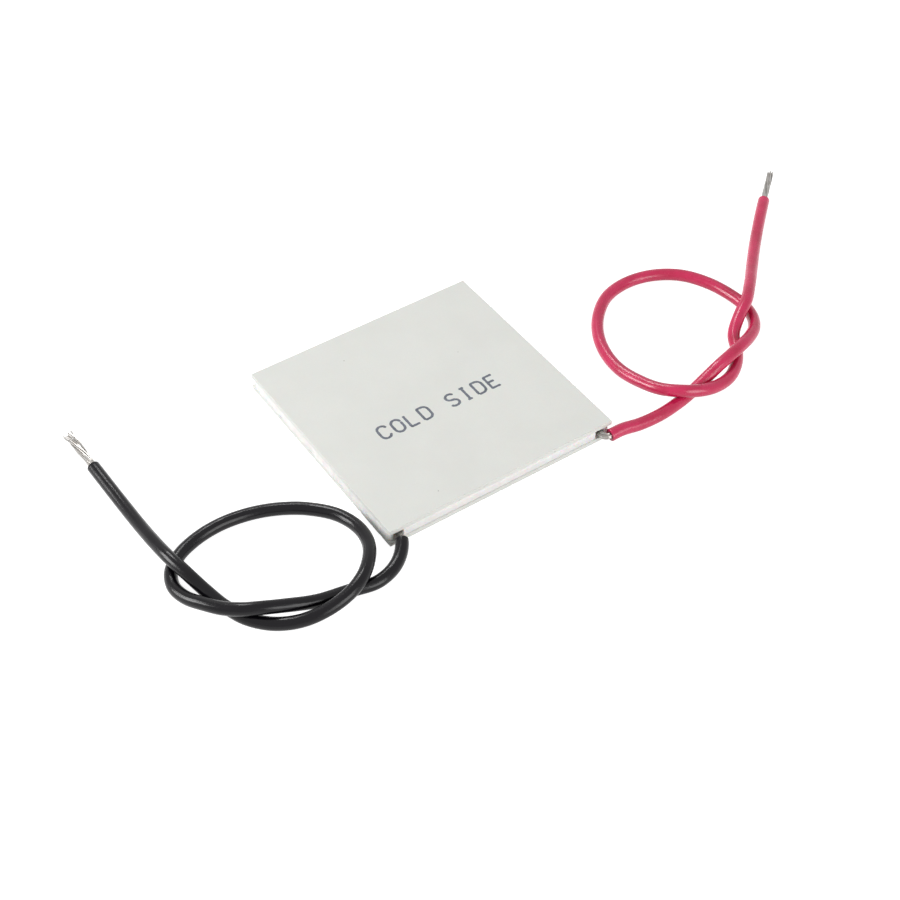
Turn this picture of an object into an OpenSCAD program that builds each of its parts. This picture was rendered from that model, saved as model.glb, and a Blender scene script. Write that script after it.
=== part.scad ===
// Thermoelectric cooling module: two square ceramic plates with a serpentine of
// semiconductor pellets and copper tabs between them, a silicone seal round the
// edge, and two stranded leads that are each tied in one loose overhand knot.
// All sizes are in millimetres. The origin is the middle of the hot side plate's
// lower face, +Z points to the cold side plate, and the leads leave at the -Y edge,
// the black one near -X and the red one near +X.

/* [Plates] */
// Side of the two square ceramic plates
plate_side = 40; // [38:0.5:50]
// Thickness of the hot side plate
hot_plate_thickness = 0.75; // [0.6:0.05:1.2]
// Thickness of the cold side plate
cold_plate_thickness = 0.75; // [0.6:0.05:1.2]

/* [Couples] */
// Rows of pellet places, and places in each row
rows = 16; // [10:2:18]
// Side of a pellet's square section
pellet_side = 1.4; // [1:0.05:1.6]

/* [Copper tabs] */
// Thickness of the copper tabs
tab_thickness = 0.3; // [0.25:0.05:0.5]
// Corner cut of the copper tabs
tab_corner_cut = 0.15; // [0.05:0.05:0.3]
// Clear space between a lead tab's end and the seal
lead_tab_clearance = 0.1; // [0.05:0.05:0.3]

/* [Seal] */
// Distance from the plates' edge in to the seal
seal_recess = 0.3; // [0.1:0.05:0.6]
// Width of the seal bead
seal_width = 0.6; // [0.4:0.05:1]
// Clear space between the seal and the outer pellets
seal_pellet_clearance = 0.4; // [0.3:0.05:1]
// Clear space in the seal on each side of a lead's conductor
seal_slot_clearance = 0.2; // [0.1:0.05:0.4]

/* [Leads] */
// Outer diameter of the lead insulation
lead_diameter = 2; // [1.8:0.05:2.2]
// Diameter of the bare conductor
conductor_diameter = 1.1; // [0.9:0.05:1.4]
// Distance of the black lead from the middle of its pellet row
black_lead_shift = -0.3; // [-0.4:0.05:0.2]
// Distance of the red lead from the middle of its pellet row
red_lead_shift = -0.2; // [-0.2:0.05:0.4]
// Bare conductor that shows between the plates' edge and the black insulation
black_bare_gap = 0.2; // [0.1:0.05:1]
// Clear space between the plates' edge and the red insulation
red_edge_gap = 0.2; // [0.1:0.05:1]
// Clear space where a lead passes over itself
crossing_gap = 0.1; // [0.05:0.05:0.3]

/* [Solder joints] */
// Solder film between a lead tab and its conductor
solder_film = 0.05; // [0.02:0.01:0.1]
// Solder that wraps the conductor
solder_skin = 0.08; // [0.04:0.01:0.12]
// Clear space over the solder joints, which sets how tall the pellets are
solder_clearance = 0.07; // [0.05:0.01:0.6]
// Distance from the next pellet to the conductor's inner end
conductor_end_clearance = 0.3; // [0.2:0.05:0.6]
// Conductor left bare of solder at its inner end
solder_setback = 0.2; // [0.1:0.05:0.4]

/* [Bare ends] */
// Length of the stripped far end of each lead
bare_end_length = 8.4; // [5:0.2:12]
// Clear space between the strands at the insulation
strand_clearance = 0.03; // [0.01:0.01:0.1]
// How far the strands of the black lead spread at their tips, 1 for none
black_strand_spread = 1.5; // [1:0.1:2]
// How far the strands of the red lead spread at their tips, 1 for none
red_strand_spread = 1.1; // [1:0.1:2]
// Turn of the strands round each other along the bare end, in degrees
strand_twist = 100; // [0:10:180]

/* [Hidden] */
$fn = 48;
lead_sides = 8;
strand_sides = 6;
outer_strands = 6;
strand_steps = 4;
strand_lead_in = 0.04;
cut_margin = 0.5;

// Grid of pellet places: row 0 is next to the black lead, place 0 next to the -Y edge
half_side = plate_side / 2;
seal_outer = half_side - seal_recess;
seal_inner = seal_outer - seal_width;
grid_half = seal_inner - seal_pellet_clearance - pellet_side / 2;
pitch = 2 * grid_half / (rows - 1);
last = rows - 1;
tab_length = pitch + pellet_side;

// Heights of the layers: the plates stand as far apart as the solder joints need
hot_tab_z = hot_plate_thickness;
pellet_z = hot_tab_z + tab_thickness;
conductor_z = pellet_z + solder_film + conductor_diameter / 2;
cold_plate_z = conductor_z + conductor_diameter / 2 + solder_skin + solder_clearance;
cold_tab_z = cold_plate_z - tab_thickness;
pellet_height = cold_tab_z - pellet_z;
plate_gap = cold_plate_z - hot_plate_thickness;

// Where the leads leave the module
conductor_inner_y = place(1) - pellet_side / 2 - conductor_end_clearance;
lead_tab_outer_y = lead_tab_clearance - seal_inner;
black_x = place(0) + black_lead_shift;
red_x = place(last) + red_lead_shift;
red_bend_radius = lead_diameter / 2;
red_bend_y = -half_side - red_edge_gap;
slot_half = conductor_diameter / 2 + seal_slot_clearance;

// Strands of a bare end: six lie round a middle one, three across the conductor
strand_diameter = conductor_diameter / 3 - strand_clearance;
strand_sag = (lead_diameter - conductor_diameter) / 4;
black_start = [black_x, -half_side - black_bare_gap];
red_start = [red_x + red_bend_radius, red_bend_y - red_bend_radius];

// Routes of the leads. Each point is X and Y from the lead's start and the lift:
// 0 lies on the surface, 1 passes over another stretch of the same lead.
black_route = [
    [-1.1, -3.2, 0.15], [-3.2, -4.6, 0], [-7, -4.7, 0], [-11.5, -4.1, 0], [-16, -3.4, 0.15],
    [-20.4, -2.4, 0.65], [-23.5, -1.4, 0.95], [-25.9, -0.2, 1], [-27.8, 1.6, 0.85],
    [-29.6, 4.4, 0.6], [-30.9, 7.4, 0.25], [-31.2, 10.4, 0.05], [-30.2, 13, 0], [-28, 15, 0],
    [-25, 16.3, 0], [-20.8, 17, 0], [-16, 16.5, 0], [-11.5, 14.8, 0], [-7.8, 12.2, 0],
    [-5.2, 8.8, 0.1], [-4.2, 4.6, 0.3], [-4.9, 0.8, 0.6], [-6.8, -2.3, 0.9], [-9, -4.4, 1],
    [-12, -5.8, 0.85], [-15.8, -6, 0.45], [-19.6, -5.1, 0.1], [-23, -3.2, 0], [-25.6, -0.2, 0],
    [-27, 3.4, 0], [-28.1, 7, 0.35], [-29.1, 10.4, 0.85], [-29.8, 13.8, 1], [-30, 17.5, 0.75],
    [-30, 22.5, 0.3], [-30, 27.5, 0.05], [-30.1, 33, 0], [-30.2, 38, 0]
];
red_route = [
    [5.5, -0.3, 0.1], [10, -0.3, 0], [14.3, 0.3, 0], [17.2, 0.9, 0.1], [20, 1.4, 0.4],
    [22.8, 1.8, 0.8], [25.6, 2.3, 1], [28.4, 3.1, 0.95], [31.4, 4.4, 0.65], [34.2, 6.3, 0.3],
    [36.2, 9, 0.05], [37, 12, 0], [36.8, 15.6, 0], [35.8, 19.5, 0], [33.4, 23.6, 0],
    [29.5, 26.3, 0], [24.6, 27.3, 0], [20, 26.4, 0], [16, 23.6, 0], [12.8, 19.5, 0],
    [11, 15, 0.05], [10.4, 10.6, 0.2], [10.9, 6.6, 0.45], [12, 2.8, 0.8], [14.2, 0.2, 1],
    [17, -0.9, 0.75], [20.5, -0.9, 0.35], [23.8, 0, 0.1], [26.6, 1.8, 0], [28.8, 4.2, 0],
    [30.4, 6.9, 0.25], [33, 8.9, 0.7], [36.2, 10.8, 1], [39.6, 13.8, 0.85], [43.5, 17.6, 0.4],
    [47.8, 21.8, 0.1], [53, 26.6, 0], [58.6, 31.5, 0]
];
black_straight = [0, -0.3];
red_straight = [2, 0];
black_path = lead_path(black_start, black_straight, black_route);
red_path = lead_path(red_start, red_straight, red_route);

// Name of the node that holds the pellets of one kind in one row
function row_name(kind, row) = str(kind, "_row_", row < 9 ? "0" : "", row + 1);

// Distance of a row or place from the middle of the grid
function place(index) = index * pitch - grid_half;

function unit(v) = v / norm(v);

// Centre line of a lead: a straight stretch out of the module, then the route
function lead_path(start, straight, route) = concat(
    [[start.x, start.y, conductor_z],
     [start.x + straight.x, start.y + straight.y, conductor_z]],
    [for (p = route)
        [start.x + p.x, start.y + p.y, lead_diameter / 2 + p.z * (lead_diameter + crossing_gap)]]
);

// Direction of a path at one of its points
function heading(path, i) =
    i == 0 ? unit(path[1] - path[0])
    : i == len(path) - 1 ? unit(path[i] - path[i - 1])
    : unit(unit(path[i] - path[i - 1]) + unit(path[i + 1] - path[i]));

// Ring of points round a centre, square to a direction
function ring(centre, dir, r, sides) =
    let (side = unit(cross(dir, [0, 0, 1])), up = cross(side, dir))
    [for (k = [0:sides - 1])
        let (a = (k + 0.5) * 360 / sides)
        centre + r * (cos(a) * side + sin(a) * up)];

// Closed tube along a path
module tube(path, r, sides) {
    rings = len(path);
    points = [for (i = [0:rings - 1]) each ring(path[i], heading(path, i), r, sides)];
    walls = [for (i = [0:rings - 2], k = [0:sides - 1])
        let (a = i * sides + k, b = i * sides + (k + 1) % sides)
        each [[a, b, a + sides], [b, b + sides, a + sides]]];
    first_cap = [for (k = [sides - 1:-1:0]) k];
    last_cap = [for (k = [0:sides - 1]) (rings - 1) * sides + k];
    polyhedron(points, concat([first_cap], walls, [last_cap]));
}

// Square ceramic plate
module plate(thickness, z) {
    translate([-half_side, -half_side, z]) cube([plate_side, plate_side, thickness]);
}

module hot_side_plate() {
    color("#d9dad5") plate(hot_plate_thickness, 0);
}

module cold_side_plate() {
    color("#dfe0db") plate(cold_plate_thickness, cold_plate_z);
}

// Copper tab with cut corners, from corner [x, y] with its sides along X and Y
module tab(x, y, length_x, length_y, z) {
    c = tab_corner_cut;
    translate([x, y, z]) linear_extrude(tab_thickness) polygon([
        [c, 0], [length_x - c, 0], [length_x, c], [length_x, length_y - c],
        [length_x - c, length_y], [c, length_y], [0, length_y - c], [0, c]
    ]);
}

// Tab along Y over two places of one row, from the given place on
module tab_in_row(row, first, z) {
    tab(place(row) - pellet_side / 2, place(first) - pellet_side / 2, pellet_side, tab_length, z);
}

// Tab along X over the same place of two rows
module tab_across_rows(first_row, index, z) {
    tab(place(first_row) - pellet_side / 2, place(index) - pellet_side / 2, tab_length, pellet_side, z);
}

// Hot side: pairs of places 0-1, 2-3 and so on, without the two lead tabs
module hot_side_tabs() {
    color("#c98a5b")
    for (row = [0:last], first = [0:2:last])
        if (!(first == 0 && (row == 0 || row == last)))
            tab_in_row(row, first, hot_tab_z);
}

// Cold side: pairs 1-2, 3-4 and so on, and the links between rows at both edges
module cold_side_tabs() {
    color("#c98a5b") {
        for (row = [0:last], first = [1:2:last - 1]) tab_in_row(row, first, cold_tab_z);
        for (row = [0:2:last]) tab_across_rows(row, last, cold_tab_z);
        for (row = [1:2:last - 1]) tab_across_rows(row, 0, cold_tab_z);
    }
}

// Tab that carries a lead: the first pair of its row, drawn out towards the edge
module lead_tab(row) {
    far_y = place(1) + pellet_side / 2;
    color("#c98a5b")
    tab(place(row) - pellet_side / 2, lead_tab_outer_y, pellet_side, far_y - lead_tab_outer_y, hot_tab_z);
}

module black_lead_tab() {
    lead_tab(0);
}

module red_lead_tab() {
    lead_tab(last);
}

// Pellets of one kind in one row: the n kind stands where row and place add up to an
// even number, the p kind where they are odd, and the two lead places stay free
module pellet_row(row, odd) {
    for (index = [0:last])
        if ((row + index) % 2 == odd && !(index == 0 && (row == 0 || row == last)))
            translate([place(row) - pellet_side / 2, place(index) - pellet_side / 2, pellet_z])
                cube([pellet_side, pellet_side, pellet_height]);
}

module p_pellets_row(row) {
    color("#74767c") pellet_row(row, 1);
}

module n_pellets_row(row) {
    color("#93959b") pellet_row(row, 0);
}

// Seal between the leads along the -Y edge
module seal_front() {
    color("white")
    translate([black_x + slot_half, -seal_outer, hot_plate_thickness])
        cube([red_x - black_x - 2 * slot_half, seal_width, plate_gap]);
}

// Seal along the other three edges, round both front corners up to the leads
module seal_sides_and_back() {
    color("white")
    translate([0, 0, hot_plate_thickness]) linear_extrude(plate_gap) difference() {
        square(2 * seal_outer, center = true);
        square(2 * seal_inner, center = true);
        translate([black_x - slot_half, -seal_outer - cut_margin])
            square([red_x - black_x + 2 * slot_half, seal_width + 2 * cut_margin]);
    }
}

// Inner stretch of a conductor along Y, from its inner end out to y
module straight_conductor(x, outer_y) {
    translate([x, conductor_inner_y, conductor_z]) rotate([90, 0, 0])
        cylinder(d = conductor_diameter, h = conductor_inner_y - outer_y);
}

module black_lead_conductor() {
    color("silver") straight_conductor(black_x, black_start.y);
}

// The red conductor turns along the plates' edge as soon as it is out
module red_lead_conductor() {
    color("silver") {
        straight_conductor(red_x, red_bend_y);
        translate([red_x + red_bend_radius, red_bend_y, conductor_z])
            rotate([0, 0, 180]) rotate_extrude(angle = 90)
                translate([red_bend_radius, 0]) circle(d = conductor_diameter);
    }
}

// Section of the solder on a lead tab: two fillets that run up to a skin round the
// conductor, cut off level with the tab. The foot is where the tab's middle lies.
module solder_section(foot_x) {
    wrap_diameter = conductor_diameter + 2 * solder_skin;
    foot = pellet_side / 2;
    rise = conductor_z - pellet_z;
    difference() {
        intersection() {
            union() {
                polygon([
                    [foot_x - foot, 0], [foot_x + foot, 0],
                    [wrap_diameter / 2, rise], [-wrap_diameter / 2, rise]
                ]);
                translate([0, rise]) circle(d = wrap_diameter);
            }
            translate([-plate_gap, 0]) square([2 * plate_gap, plate_gap]);
        }
        translate([0, rise]) circle(d = conductor_diameter);
    }
}

module lead_solder(row, x) {
    inner_y = conductor_inner_y - solder_setback;
    color("#c9cbcc")
    translate([x, inner_y, pellet_z]) rotate([90, 0, 0])
        linear_extrude(inner_y - lead_tab_outer_y) solder_section(place(row) - x);
}

module black_lead_solder() {
    lead_solder(0, black_x);
}

module red_lead_solder() {
    lead_solder(last, red_x);
}

module black_lead() {
    color("#232126") tube(black_path, lead_diameter / 2, lead_sides);
}

module red_lead() {
    color("#c82d55") tube(red_path, lead_diameter / 2, lead_sides);
}

// Path of one strand past a lead's end: it starts square to the end face, and then
// turns round the middle strand, spreads, and sags towards the surface
function strand_path(end, dir, offset, angle, spread) =
    let (side = unit(cross(dir, [0, 0, 1])), up = cross(side, dir))
    [for (t = concat([0], [for (i = [0:strand_steps]) strand_lead_in + i * (1 - strand_lead_in) / strand_steps]))
        let (
            free = max(0, t - strand_lead_in) / (1 - strand_lead_in),
            a = angle + strand_twist * free,
            r = offset * (1 + (spread - 1) * free)
        )
        end + t * bare_end_length * dir + r * (cos(a) * side + sin(a) * up)
            - [0, 0, strand_sag * free ^ 2]];

module bare_end(path, spread) {
    n = len(path);
    end = path[n - 1];
    dir = unit(end - path[n - 2]);
    ring_offset = (conductor_diameter - strand_diameter) / 2;
    color("silver") {
        tube(strand_path(end, dir, 0, 0, 1), strand_diameter / 2, strand_sides);
        for (k = [0:outer_strands - 1])
            tube(strand_path(end, dir, ring_offset, k * 360 / outer_strands, spread),
                strand_diameter / 2, strand_sides);
    }
}

module black_lead_bare_end() {
    bare_end(black_path, black_strand_spread);
}

module red_lead_bare_end() {
    bare_end(red_path, red_strand_spread);
}

hot_side_plate();
cold_side_plate();
hot_side_tabs();
cold_side_tabs();
black_lead_tab();
red_lead_tab();
for (row = [0:last]) {
    p_pellets_row(row);
    n_pellets_row(row);
}
seal_front();
seal_sides_and_back();
black_lead_conductor();
black_lead_solder();
black_lead();
black_lead_bare_end();
red_lead_conductor();
red_lead_solder();
red_lead();
red_lead_bare_end();
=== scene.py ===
"""Thermoelectric cooling module: ceramic plates with a printed mark, a silicone
seal, pellets and copper tabs between the plates, and two stranded leads that are
each tied in one loose overhand knot.

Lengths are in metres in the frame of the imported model: +Z points to the cold side
plate, and the leads leave at the -Y edge.
"""

import math

import bmesh
import bpy
import numpy as np
from bpy.props import (
    FloatProperty, FloatVectorProperty, IntProperty, PointerProperty, StringProperty,
)
from mathutils import Matrix, Vector


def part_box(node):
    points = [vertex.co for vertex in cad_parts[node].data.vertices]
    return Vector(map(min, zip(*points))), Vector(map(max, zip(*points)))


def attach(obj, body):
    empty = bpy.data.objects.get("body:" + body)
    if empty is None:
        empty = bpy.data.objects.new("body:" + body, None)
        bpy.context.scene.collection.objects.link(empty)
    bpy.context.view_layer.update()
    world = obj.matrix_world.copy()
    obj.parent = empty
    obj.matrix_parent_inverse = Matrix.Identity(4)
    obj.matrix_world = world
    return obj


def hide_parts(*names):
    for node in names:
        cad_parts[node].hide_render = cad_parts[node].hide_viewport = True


bl_info = {
    "name": "Thermoelectric Cooling Module",
    "version": (1, 0, 0),
    "blender": (4, 5, 0),
    "location": "View3D > Sidebar > Cooling Module",
    "description": "Builds the finished look of a thermoelectric cooling module",
    "category": "Object",
}

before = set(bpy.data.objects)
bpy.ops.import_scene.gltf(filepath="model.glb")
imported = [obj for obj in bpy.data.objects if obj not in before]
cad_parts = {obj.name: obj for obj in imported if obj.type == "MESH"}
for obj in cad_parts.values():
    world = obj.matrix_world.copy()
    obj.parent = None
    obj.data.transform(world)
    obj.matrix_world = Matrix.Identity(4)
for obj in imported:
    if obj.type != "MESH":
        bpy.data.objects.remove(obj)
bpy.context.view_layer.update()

MM = 0.001
UP = np.array([0.0, 0.0, 1.0])
SEED = 127
LEAD_STEP = 0.35 * MM  # distance between the rings of a lead
CROSSING_GAP = 0.1 * MM  # clear space where a lead passes over itself

# Routes of the leads in millimetres. Each point is X and Y from the lead's start and
# the lift: 0 lies on the surface, 1 passes over another stretch of the same lead.
BLACK_ROUTE = [
    [-1.2, -2.1, 0.2], [-3.2, -3.8, 0.05], [-6.8, -5, 0], [-11.5, -4.1, 0], [-16, -3.4, 0.15],
    [-20.4, -2.4, 0.65], [-23.5, -1.4, 0.95], [-25.9, -0.2, 1], [-27.8, 1.6, 0.85],
    [-29.6, 4.4, 0.6], [-30.9, 7.4, 0.25], [-31.2, 10.4, 0.05], [-30.2, 13, 0], [-28, 15, 0],
    [-25, 16.3, 0], [-20.8, 17, 0], [-16, 16.5, 0], [-11.5, 14.8, 0], [-7.8, 12.2, 0],
    [-5.2, 8.8, 0.1], [-4.2, 4.6, 0.3], [-4.9, 0.8, 0.6], [-6.8, -2.3, 0.9], [-9, -4.4, 1],
    [-12, -5.8, 0.85], [-15.8, -6, 0.45], [-19.6, -5.1, 0.1], [-23, -3.2, 0], [-25.6, -0.2, 0],
    [-27, 3.4, 0], [-28.1, 7, 0.35], [-29.1, 10.4, 0.85], [-29.8, 13.8, 1], [-30, 17.5, 0.75],
    [-30, 22.5, 0.3], [-30, 27.5, 0.05], [-30.1, 33, 0], [-30.2, 38, 0],
]
RED_ROUTE = [
    [5.5, -0.3, 0.1], [10, -0.3, 0], [14.3, 0.3, 0], [17.2, 0.9, 0.1], [20, 1.4, 0.4],
    [22.8, 1.8, 0.8], [25.6, 2.3, 1], [28.4, 3.1, 0.95], [31.4, 4.4, 0.65], [34.2, 6.3, 0.3],
    [36.2, 9, 0.05], [37, 12, 0], [36.8, 15.6, 0], [35.8, 19.5, 0], [33.4, 23.6, 0],
    [29.5, 26.3, 0], [24.6, 27.3, 0], [20, 26.4, 0], [16, 23.6, 0], [12.8, 19.5, 0],
    [11, 15, 0.05], [10.4, 10.6, 0.2], [10.9, 6.6, 0.45], [12, 2.8, 0.8], [14.2, 0.2, 1],
    [17, -0.9, 0.75], [20.5, -0.9, 0.35], [23.8, 0, 0.1], [26.6, 1.8, 0], [28.8, 4.2, 0],
    [30.4, 6.9, 0.25], [33, 8.9, 0.7], [36.2, 10.8, 1], [39.6, 13.8, 0.85], [43.5, 17.6, 0.4],
    [47.8, 21.8, 0.1], [53, 26.6, 0], [58.6, 31.5, 0],
]


def srgb(red, green, blue):
    """Linear colour of an 8-bit display colour."""
    parts = [value / 255 for value in (red, green, blue)]
    return tuple(v / 12.92 if v <= 0.04045 else ((v + 0.055) / 1.055) ** 2.4 for v in parts)


# ---- settings


def length(name, description, default, least=0.0):
    """A length that a user can set."""
    return FloatProperty(
        name=name, description=description, default=default, min=least, unit="LENGTH",
        subtype="DISTANCE", precision=5,
    )


def angle(name, description, degrees):
    """An angle that a user can set."""
    return FloatProperty(
        name=name, description=description, default=math.radians(degrees), subtype="ANGLE"
    )


def colour(name, description, default):
    """A colour that a user can set."""
    return FloatVectorProperty(
        name=name, description=description, default=default, min=0.0, max=1.0, size=3,
        subtype="COLOR",
    )


class PlateSettings(bpy.types.PropertyGroup):
    """Finish of the two ceramic plates."""

    edge_break: length("Edge break", "Width of the worn edge of a plate", 0.03 * MM)
    chip_depth: length("Chip depth", "Depth of the deepest chips in an edge", 0.12 * MM)
    ceramic: colour("Ceramic", "Colour of the fired ceramic", srgb(226, 227, 222))
    speck: colour("Specks", "Colour of the dark specks in the ceramic", srgb(150, 148, 142))


class MarkSettings(bpy.types.PropertyGroup):
    """Side mark printed on the cold side plate."""

    text: StringProperty(name="Text", description="Words of the mark", default="COLD SIDE")
    left: length("Left", "X of the first letter's left edge", -10.6 * MM, -1.0)
    base: length("Base line", "Y of the letters' lower edge", -3.9 * MM, -1.0)
    height: length("Height", "Height of the letters", 2.7 * MM)
    width: length("Width", "Width of the letters", 1.6 * MM)
    advance: length("Advance", "Distance from letter to letter", 2.48 * MM)
    stroke: length("Stroke", "Width of a printed line", 0.42 * MM)
    film: length("Film", "Thickness of the printed film", 0.008 * MM)
    ink: colour("Ink", "Colour of the ink", srgb(96, 101, 112))


class SealSettings(bpy.types.PropertyGroup):
    """Silicone bead between the plates."""

    fullness: length("Fullness", "How far the bead swells out of its bed", 0.2 * MM)
    groove: length("Groove", "Depth of the groove under the cold side plate", 0.26 * MM)
    slot_fill: length("Slot fill", "How far the bead creeps towards a conductor", 0.15 * MM)
    silicone: colour("Silicone", "Colour of the cured silicone", srgb(238, 236, 234))


class LeadSettings(bpy.types.PropertyGroup):
    """The two stranded leads."""

    diameter: length("Insulation", "Outer diameter of the insulation", 2.0 * MM)
    strand: length("Strand", "Diameter of one strand", 0.215 * MM)
    strand_pitch: length("Strand pitch", "Distance between neighbouring strands", 0.222 * MM)
    bare_end: length("Bare end", "Length of the stripped far end", 8.4 * MM)
    lay: length("Lay", "Length in which the strands turn once round each other", 19 * MM)
    black_cut: length("Black cut", "Bare conductor before the black insulation", 0.8 * MM)
    sides: IntProperty(
        name="Sides", description="Points round the insulation", default=28, min=8, max=64
    )
    black: colour("Black", "Colour of the black insulation", srgb(12, 9, 15))
    red: colour("Red", "Colour of the red insulation", srgb(198, 28, 80))
    tin: colour("Tinned copper", "Colour of the tinned strands", srgb(176, 174, 171))


class StageSettings(bpy.types.PropertyGroup):
    """Camera, lamps and floor."""

    azimuth: angle("Azimuth", "Direction of the camera round the module", -33.664)
    elevation: angle("Elevation", "Height of the camera above the horizon", 45.667)
    roll: angle("Roll", "Turn of the camera about its own axis", -0.564)
    distance: length("Distance", "Distance from the camera to its aim", 265.192 * MM)
    aim: FloatVectorProperty(
        name="Aim", description="Point that the camera looks at", size=3,
        default=(0.242 * MM, -5.315 * MM, -4.191 * MM), unit="LENGTH", subtype="XYZ",
        precision=5,
    )
    lens: FloatProperty(
        name="Lens", description="Focal length of the camera in millimetres",
        default=68.45, min=10.0, subtype="DISTANCE_CAMERA",
    )
    floor: colour("Floor", "Colour of the floor and backdrop", srgb(250, 250, 250))


# ---- shapes


def corners(node):
    """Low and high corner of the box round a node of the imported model."""
    return tuple(np.array(corner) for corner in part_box(node))


def add_object(name, data):
    """A new object in the scene, at the origin."""
    piece = bpy.data.objects.new(name, data)
    bpy.context.scene.collection.objects.link(piece)
    return piece


def unit_rows(vectors):
    """Each vector divided by its length."""
    return vectors / np.linalg.norm(vectors, axis=-1, keepdims=True)


def ripple(along, lengths, seed):
    """Smooth irregular wave between about -1 and 1: a sum of one sine for each of the
    given wavelengths, each with a random phase and a little random stretch."""
    random = np.random.default_rng(seed)
    total = np.zeros(np.shape(along))
    for wavelength in lengths:
        stretch = random.uniform(0.85, 1.15)
        total = total + np.sin(
            2 * np.pi * along / (wavelength * stretch) + random.uniform(0, 2 * np.pi)
        )
    return total / len(lengths)


def smooth_path(points, steps):
    """Curve through the points. Each stretch is a cubic with the stretch's length as
    its scale, and the tangent at a point is the mean of the directions of its two
    stretches, each weighted by the length of the other."""
    gaps = np.diff(points, axis=0)
    size = np.linalg.norm(gaps, axis=1)[:, None]
    heading = gaps / size
    tangent = np.empty_like(points)
    tangent[1:-1] = (size[1:] * heading[:-1] + size[:-1] * heading[1:]) / (size[1:] + size[:-1])
    tangent[0] = heading[0]
    tangent[-1] = 2 * heading[-1] - tangent[-2]
    t = (np.arange(steps) / steps)[None, :, None]
    start, end = points[:-1, None], points[1:, None]
    curve = (
        (2 * t**3 - 3 * t**2 + 1) * start
        + (t**3 - 2 * t**2 + t) * size[:, None] * tangent[:-1, None]
        + (3 * t**2 - 2 * t**3) * end
        + (t**3 - t**2) * size[:, None] * tangent[1:, None]
    )
    return np.vstack([curve.reshape(-1, 3), points[-1:]])


def distances(path):
    """Distance of each point of a path from its start, along the path."""
    return np.concatenate([[0], np.cumsum(np.linalg.norm(np.diff(path, axis=0), axis=1))])


def at_distance(path, wanted):
    """Points of a path at the wanted distances from its start. Distances before the
    start or past the end go on straight."""
    along = distances(path)
    inside = np.clip(wanted, 0, along[-1])
    points = np.stack([np.interp(inside, along, path[:, axis]) for axis in range(3)], axis=-1)
    heads = unit_rows(np.stack([path[1] - path[0], path[-1] - path[-2]]))
    before = np.minimum(wanted, 0)[..., None] * heads[0]
    after = np.maximum(wanted - along[-1], 0)[..., None] * heads[1]
    return points + before + after


def square_to(heading):
    """Level directions to the side of the headings, and directions square to both."""
    side = unit_rows(np.cross(heading, UP))
    return side, np.cross(side, heading)


def circles(centre, side, up, radii, sides, angle=0.0):
    """Circles of the given radii round the centres, in the planes of side and up."""
    turn = angle + 2 * np.pi * np.arange(sides) / sides
    return centre[:, None] + radii[:, None, None] * (
        np.cos(turn)[None, :, None] * side[:, None] + np.sin(turn)[None, :, None] * up[:, None]
    )


def solid_from_rings(name, rings, sharp=math.radians(40)):
    """Closed solids from rings of points, as an array of shape (solids, rings, points,
    3). Each ring is joined to the next by quads, and the first and last are capped.
    The UV map holds the ring number and the place round the ring, both from 0 to 1."""
    solids, count, sides = rings.shape[:3]
    row, column = np.meshgrid(np.arange(count - 1), np.arange(sides), indexing="ij")
    after = (column + 1) % sides
    quads = np.stack(
        [row * sides + column, row * sides + after, (row + 1) * sides + after,
         (row + 1) * sides + column], axis=-1,
    ).reshape(-1, 4)
    caps = np.stack([np.arange(sides)[::-1], (count - 1) * sides + np.arange(sides)])
    shift = np.arange(solids)[:, None, None] * count * sides
    quads = (quads[None] + shift).reshape(-1, 4)
    caps = (caps[None] + shift).reshape(-1, sides)
    mesh = bpy.data.meshes.new(name)
    mesh.from_pydata(rings.reshape(-1, 3).tolist(), [], quads.tolist() + caps.tolist())

    u = np.stack([row, row, row + 1, row + 1], axis=-1) / (count - 1)
    v = np.stack([column, column + 1, column + 1, column], axis=-1) / sides
    wall_uv = np.tile(np.stack([u, v], axis=-1).reshape(1, -1), (solids, 1)).ravel()
    cap_uv = np.zeros(caps.size * 2)
    layer = mesh.uv_layers.new(name="along_and_round")
    layer.data.foreach_set("uv", np.concatenate([wall_uv, cap_uv]))

    shell = bmesh.new()
    shell.from_mesh(mesh)
    inside_out = shell.calc_volume(signed=True) < 0
    shell.free()
    if inside_out:
        mesh.flip_normals()
    mesh.polygons.foreach_set("use_smooth", [True] * len(mesh.polygons))
    mesh.set_sharp_from_angle(angle=sharp)
    mesh.validate()
    return add_object(name, mesh)


def join_pieces(name, parts):
    """One piece from several, which are removed."""
    shell = bmesh.new()
    for part in parts:
        shell.from_mesh(part.data)
    mesh = bpy.data.meshes.new(name)
    shell.to_mesh(mesh)
    shell.free()
    for part in parts:
        old = part.data
        bpy.data.objects.remove(part)
        bpy.data.meshes.remove(old)
    return add_object(name, mesh)


def finish_piece(piece, material, slot, *nodes):
    """Gives a piece its material and its body, and hides the parts of the imported model that it
    replaces. The slot is not used.
    """
    piece.data.materials.append(material)
    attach(piece, "root")
    if nodes:
        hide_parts(*nodes)
    return piece


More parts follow.
